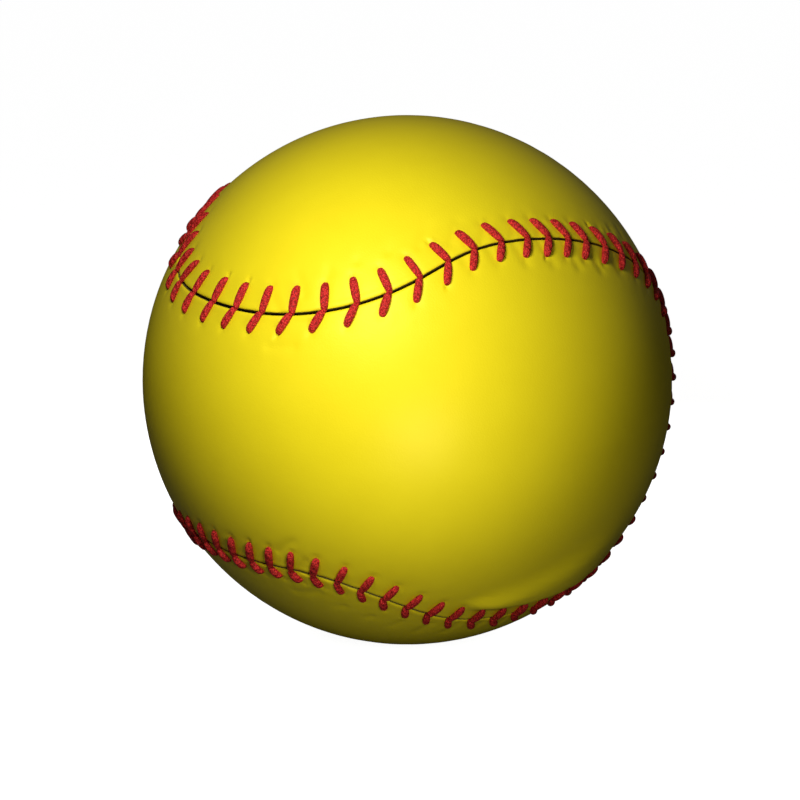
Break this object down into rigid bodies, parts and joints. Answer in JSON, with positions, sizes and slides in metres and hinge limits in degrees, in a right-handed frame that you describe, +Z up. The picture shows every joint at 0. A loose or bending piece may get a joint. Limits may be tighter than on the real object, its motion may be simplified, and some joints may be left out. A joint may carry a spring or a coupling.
{
  "type": "softball",
  "caption": "Round optic yellow softball: a wound core under figure-eight leather panels closed by a raised red hand-sewn seam.",
  "frame": {"origin": "centre of the ball", "axes": "+Z up, -Y towards the pictured side, +X to the right of that view"},
  "size_m": [0.0984, 0.097, 0.097],
  "materials": {
    "core_foam": "moulded polyurethane",
    "winding_yarn": "twisted yarn",
    "latex": "dipped latex",
    "cement": "dried rubber cement",
    "cover_leather": "smooth dyed leather",
    "waxed_thread": "waxed twisted thread"
  },
  "bodies": {
    "root": {"core": "core_foam", "core_winding": "winding_yarn", "latex_coat": "latex", "cement_bed_a": "cement", "cement_bed_b": "cement", "cover_panel_a": "cover_leather", "cover_panel_b": "cover_leather", "seam_thread_a": "waxed_thread", "seam_thread_b": "waxed_thread"}
  },
  "joints": []
}
